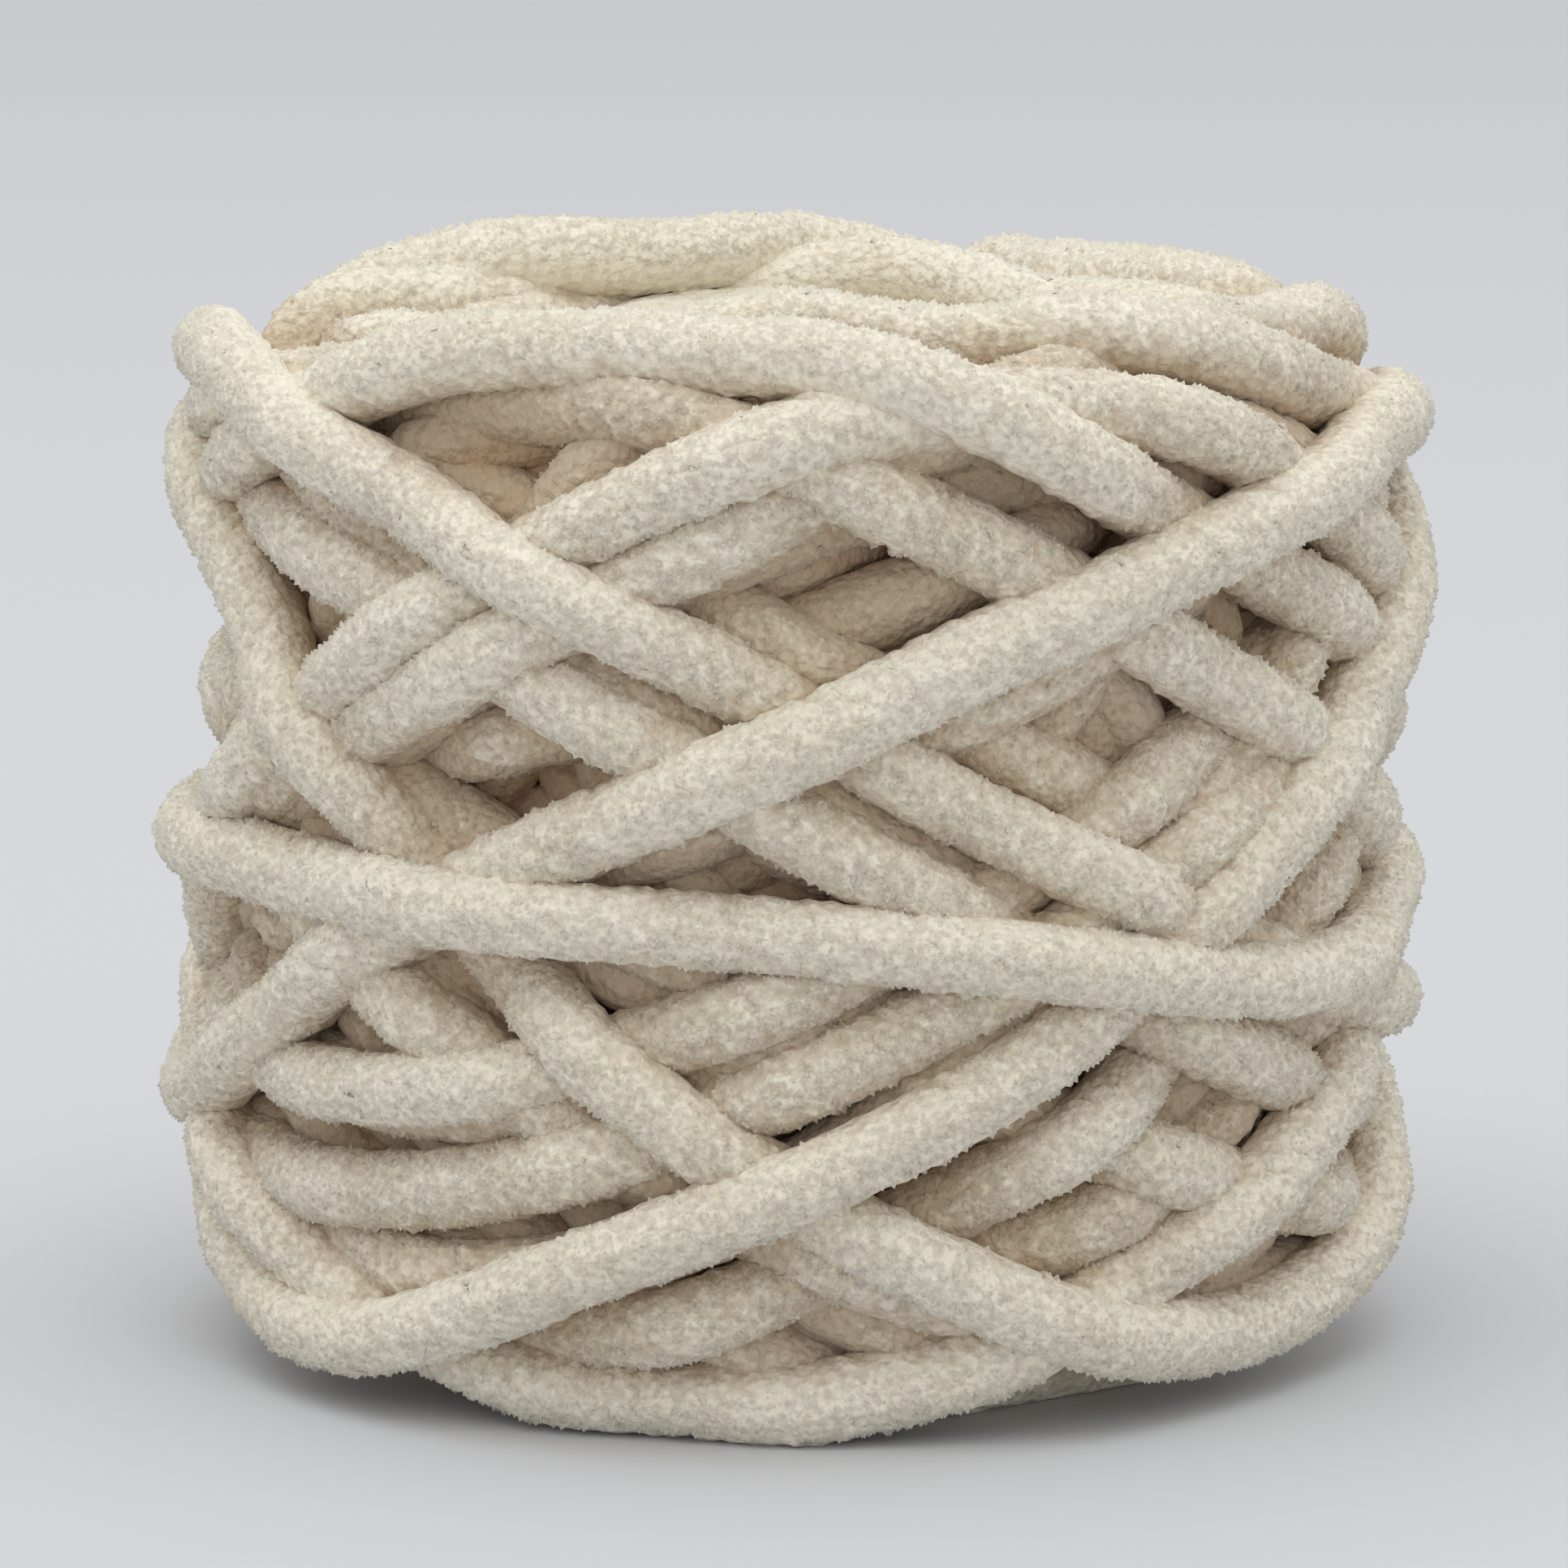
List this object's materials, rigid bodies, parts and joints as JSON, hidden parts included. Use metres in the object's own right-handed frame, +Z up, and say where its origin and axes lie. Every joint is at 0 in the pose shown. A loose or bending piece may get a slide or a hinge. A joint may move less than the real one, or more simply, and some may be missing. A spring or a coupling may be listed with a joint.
{
  "type": "ball of yarn",
  "caption": "Ball of chunky cream chenille yarn, cross-wound by machine into a squat drum with a hollow in its top.",
  "frame": {"origin": "centre of the flat foot that the ball rests on", "axes": "+Z up along the ball's winding axis, -Y towards the side where two long turns cross, +X to the right of that side"},
  "size_m": [0.1134, 0.114, 0.0967],
  "materials": {
    "yarn": "matt short-pile chenille, undyed cream"
  },
  "bodies": {
    "root": {"yarn_ball": "yarn"}
  },
  "joints": []
}
